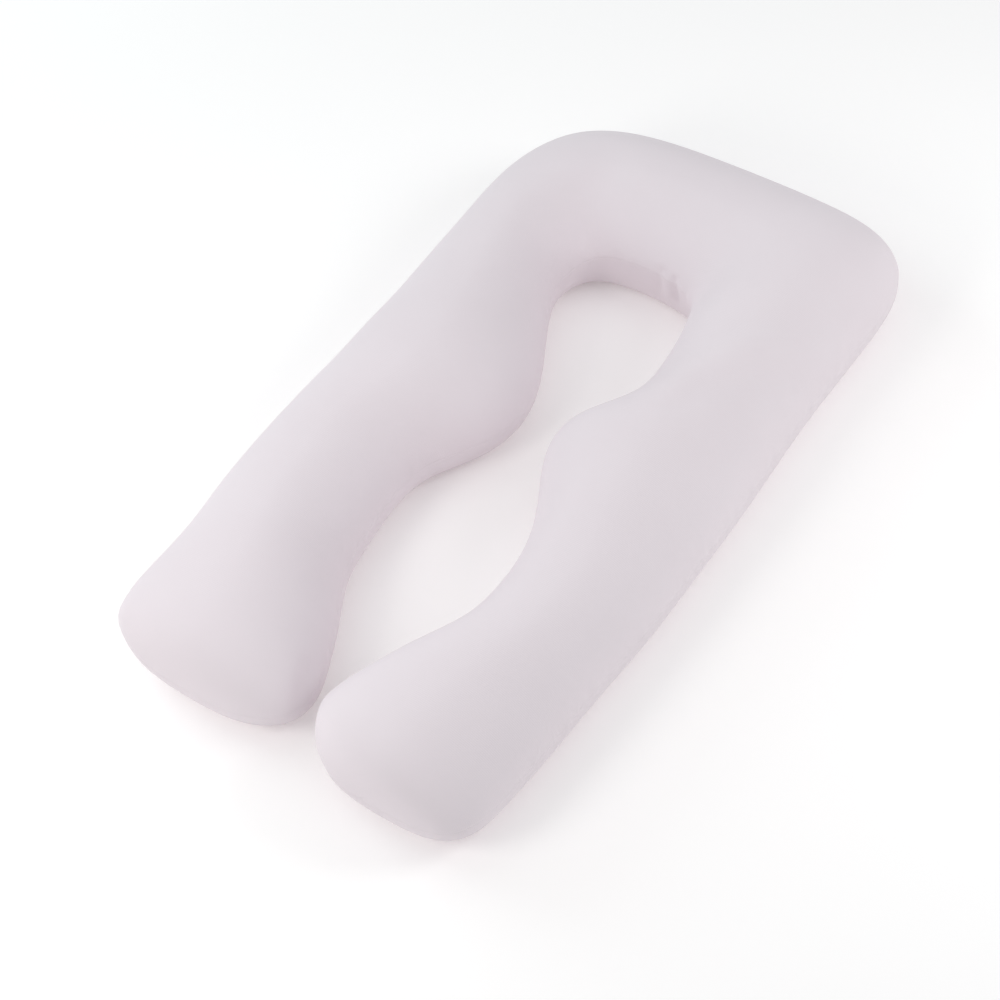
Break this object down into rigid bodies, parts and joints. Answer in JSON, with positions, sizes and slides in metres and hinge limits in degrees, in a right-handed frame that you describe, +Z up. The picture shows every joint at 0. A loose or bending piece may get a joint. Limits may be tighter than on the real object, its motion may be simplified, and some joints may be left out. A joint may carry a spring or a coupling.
{
  "type": "pregnancy pillow",
  "caption": "U-shaped full-body pregnancy pillow: one tightly filled cloth cover with waved inner sides, lying on its back.",
  "frame": {"origin": "on the floor, under the middle of the pillow's outline", "axes": "+Z up out of the floor; +Y along the pillow towards the head, where the two arms join; +X towards the right arm, the one nearer the camera in the picture"},
  "size_m": [0.7197, 1.2485, 0.1929],
  "materials": {
    "cover": "matte"
  },
  "bodies": {
    "root": {"pillow": "cover"}
  },
  "joints": []
}
